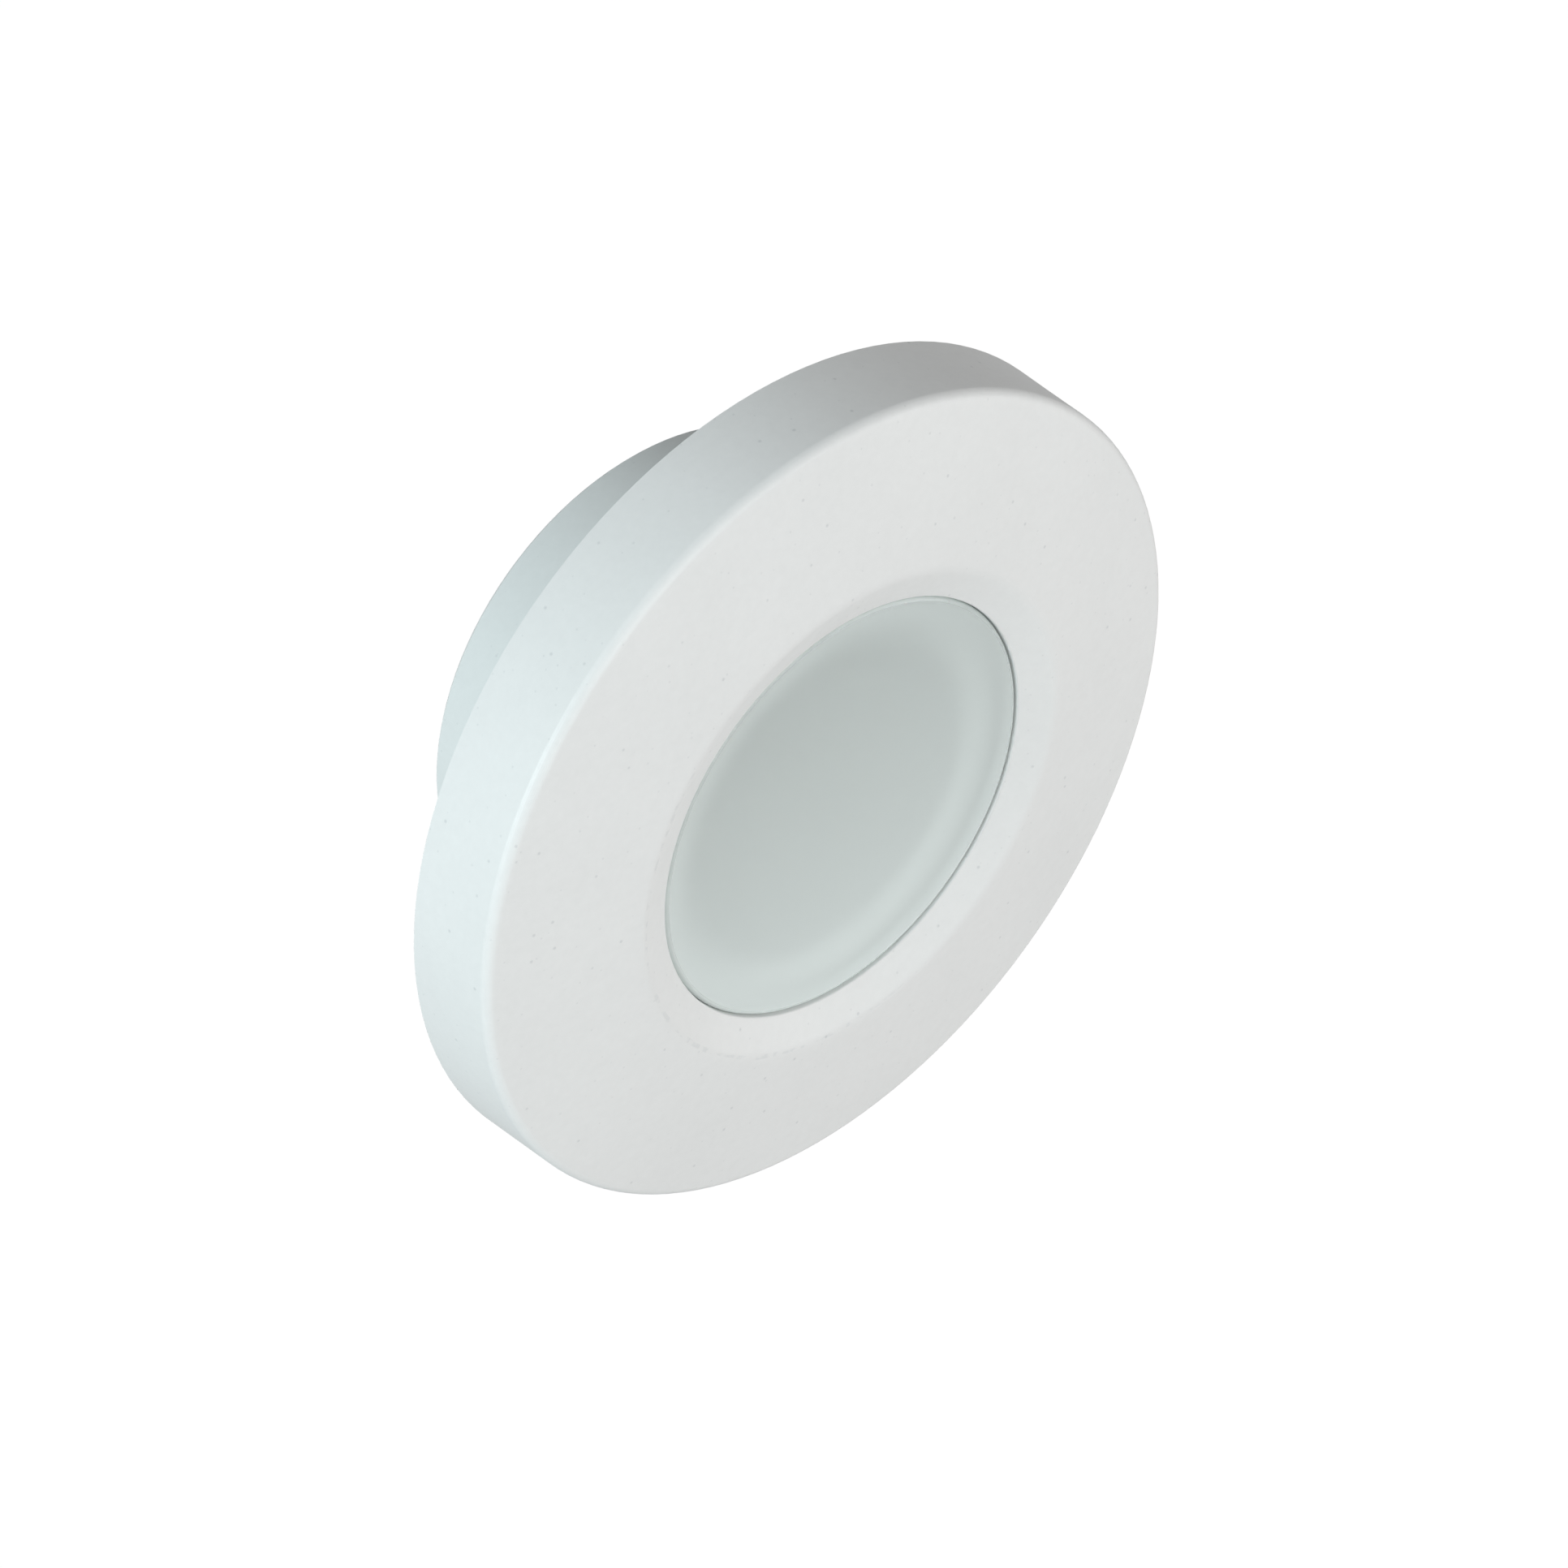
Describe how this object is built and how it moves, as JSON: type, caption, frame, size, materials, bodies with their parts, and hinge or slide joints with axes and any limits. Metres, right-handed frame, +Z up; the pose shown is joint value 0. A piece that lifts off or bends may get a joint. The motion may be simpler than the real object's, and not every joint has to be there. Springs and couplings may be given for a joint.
{
  "type": "underwater pool light",
  "caption": "Round flush-mounted underwater pool light: domed white push-on bezel, recessed frosted glass lens, sealed plug-in body with O-rings and a rear cable gland.",
  "frame": {"origin": "centre of the wall screws' circle, on the mounting plane, which is the back face of the wall gasket", "axes": "-Y out of the wall through the lens, +Y into the wall along the plug-in body and the gland, +Z up, +X to the right seen from the pool"},
  "size_m": [0.0788, 0.0368, 0.0787],
  "materials": {
    "bezel_plastic": "satin",
    "body_plastic": "satin",
    "frosted_glass": "frosted",
    "black_rubber": "matte",
    "silicone": "matte",
    "stainless": "satin",
    "reflector_white": "satin",
    "board_white": "satin",
    "led_case": "satin",
    "phosphor": "satin",
    "thermal_silicone": "matte",
    "raw_aluminium": "satin",
    "board_green": "satin",
    "brass": "satin",
    "black_moulding": "matte",
    "ferrite": "matte",
    "copper_wire": "gloss",
    "can_aluminium": "satin",
    "resistor_ceramic": "satin",
    "terminal_green": "satin"
  },
  "bodies": {
    "root": {"bezel_o_ring": "black_rubber", "housing": "body_plastic", "wall_gasket": "black_rubber", "body_o_rings": "black_rubber", "lens": "frosted_glass", "lens_gasket": "silicone", "lens_ring": "stainless", "lens_ring_screws": "stainless", "reflector": "reflector_white", "led_board": "board_white", "led_packages": "led_case", "led_lenses": "phosphor", "led_board_screws": "stainless", "thermal_pad": "thermal_silicone", "heat_sink": "raw_aluminium", "driver_board": "board_green", "board_spacers": "brass", "board_screws": "stainless", "board_pins": "brass", "pin_insulator": "black_moulding", "inductor": "ferrite", "inductor_coil": "copper_wire", "capacitors": "can_aluminium", "rectifier": "black_moulding", "controller_chip": "black_moulding", "resistors": "resistor_ceramic", "terminal_block": "terminal_green", "terminal_screws": "stainless", "rear_cover": "body_plastic", "rear_cover_seal": "silicone", "rear_cover_screws": "stainless", "gland_seal": "black_rubber"},
    "bezel": {"bezel": "bezel_plastic"},
    "gland_ring": {"gland_ring": "body_plastic"},
    "gland_nut": {"gland_nut": "body_plastic"}
  },
  "joints": [
    {"name": "bezel_pull", "type": "slide", "parent": "root", "child": "bezel", "axis": [0, -1, 0], "range_m": [0, 0.025]},
    {"name": "gland_travel", "type": "slide", "parent": "root", "child": "gland_ring", "axis": [0, 1, 0], "range_m": [0, 0.003]},
    {"name": "gland_turn", "type": "hinge", "parent": "gland_ring", "child": "gland_nut", "pos_m": [0, 0.0214, 0], "axis": [0, 1, 0], "range_deg": [0, 720]}
  ],
  "couplings": [
    {"joint": "gland_turn", "follows": "gland_travel", "rad_per_m": 4188.8}
  ]
}
